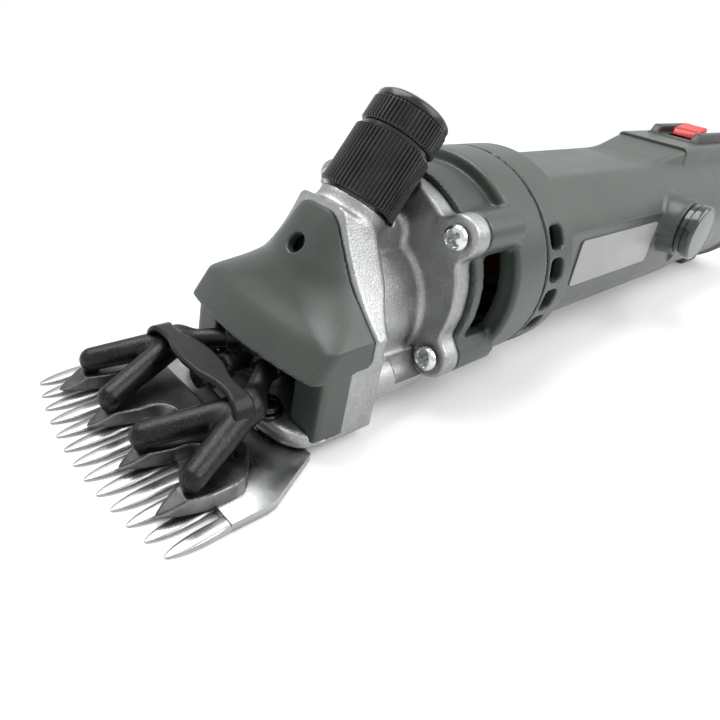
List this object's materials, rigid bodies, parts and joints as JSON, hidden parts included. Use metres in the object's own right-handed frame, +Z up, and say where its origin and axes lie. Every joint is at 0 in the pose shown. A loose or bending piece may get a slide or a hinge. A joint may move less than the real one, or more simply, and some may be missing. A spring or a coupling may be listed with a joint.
{
  "type": "sheep shears",
  "caption": "Mains sheep shears: toothed comb and cutter driven by an oscillating fork, cast head with leaning tension nut, motor barrel, speed dial and slide switch.",
  "frame": {"origin": "centre of the bounding box in plan, at the height of the comb underside and the lowest line of the motor ring", "axes": "+X along the motor axis from the comb towards the cord end, +Z up through the tension nut, -Y to the side that carries the speed dial"},
  "size_m": [0.384, 0.082, 0.0923],
  "materials": {
    "comb_steel": "ground",
    "cutter_steel": "hardened, ground faces",
    "foot_steel": "cast, blacked",
    "clip_steel": "black",
    "fork_steel": "cast, blacked",
    "bright_screw": "zinc plated",
    "black_screw": "black oxide",
    "head_alloy": "die cast",
    "green_shell": "satin moulded",
    "black_nut": "black, knurled",
    "steel": "turned",
    "bronze": "sintered",
    "black_plastic": "moulded",
    "core_steel": "laminated",
    "copper": "enamelled",
    "carbon": "carbon",
    "label_face": "matt",
    "board_green": "laminate",
    "red_button": "gloss moulded",
    "pale_plate": "moulded",
    "gland_rubber": "moulded"
  },
  "bodies": {
    "frame": {"comb": "comb_steel", "comb_screw_left": "black_screw", "comb_screw_right": "black_screw", "pivot_post": "steel", "head_casting": "head_alloy", "front_cover": "green_shell", "tension_sleeve": "steel", "crank_bearing": "steel", "crank_bush": "bronze", "gear_plate": "black_plastic", "front_bearing": "steel", "rear_bearing": "steel", "stator_core": "core_steel", "field_coils": "copper", "brush_left": "carbon", "brush_right": "carbon", "brush_holder_left": "bronze", "brush_holder_right": "bronze", "motor_housing": "green_shell", "flange_screw_upper_left": "bright_screw", "flange_screw_upper_right": "bright_screw", "flange_screw_lower_left": "bright_screw", "flange_screw_lower_right": "bright_screw", "label_plate": "label_face", "speed_board": "board_green", "rear_handle": "green_shell", "handle_screw_left": "bright_screw", "handle_screw_right": "bright_screw", "switch_frame": "black_plastic", "marking_plate": "pale_plate", "switch_body": "black_plastic", "cord_gland": "gland_rubber"},
    "fork_set": {"cutter": "cutter_steel", "foot_left": "foot_steel", "foot_right": "foot_steel", "retaining_clip": "clip_steel", "clip_screw": "steel", "fork": "fork_steel"},
    "crank": {"crankshaft": "steel", "crank_gear": "steel"},
    "roller": {"crank_roller": "steel"},
    "armature": {"pinion": "steel", "motor_shaft": "steel", "armature_core": "core_steel", "armature_winding": "copper", "commutator": "copper", "fan": "black_plastic"},
    "pin": {"tension_pin": "steel"},
    "nut": {"tension_nut": "black_nut"},
    "cap": {"lock_cap": "black_nut"},
    "button": {"switch_slide": "red_button"},
    "dial": {"speed_dial": "green_shell"}
  },
  "joints": [
    {"name": "fork_swing", "type": "hinge", "parent": "frame", "child": "fork_set", "pos_m": [-0.132, 0.00295, 0.0209], "axis": [0, 0, 1], "range_deg": [-9.6, 9.6]},
    {"name": "armature_spin", "type": "hinge", "parent": "frame", "child": "armature", "pos_m": [-0.0732, 0.00295, 0.0369], "axis": [1, 0, 0], "continuous": true},
    {"name": "crank_spin", "type": "hinge", "parent": "frame", "child": "crank", "pos_m": [-0.112, 0.00295, 0.0189], "axis": [1, 0, 0], "continuous": true},
    {"name": "roller_spin", "type": "hinge", "parent": "crank", "child": "roller", "pos_m": [-0.112, 0.00295, 0.02228], "axis": [1, 0, 0], "continuous": true},
    {"name": "pin_travel", "type": "slide", "parent": "frame", "child": "pin", "axis": [0.5577, 0, 0.83], "range_m": [0, 0.0025]},
    {"name": "nut_turn", "type": "hinge", "parent": "pin", "child": "nut", "pos_m": [-0.132, 0.00295, 0.0284], "axis": [0.5577, 0, 0.83], "range_deg": [0, 720]},
    {"name": "cap_turn", "type": "hinge", "parent": "nut", "child": "cap", "pos_m": [-0.132, 0.00295, 0.0284], "axis": [0.5577, 0, 0.83], "range_deg": [0, 90]},
    {"name": "button_slide", "type": "slide", "parent": "frame", "child": "button", "axis": [-1, 0, 0], "range_m": [0, 0.008]},
    {"name": "dial_turn", "type": "hinge", "parent": "frame", "child": "dial", "pos_m": [0.057, -0.03805, 0.0449], "axis": [0, -1, 0], "range_deg": [0, 270]}
  ],
  "couplings": [
    {"joint": "crank_spin", "follows": "armature_spin", "ratio": -0.25},
    {"joint": "nut_turn", "follows": "pin_travel", "rad_per_m": 5026.5}
  ]
}
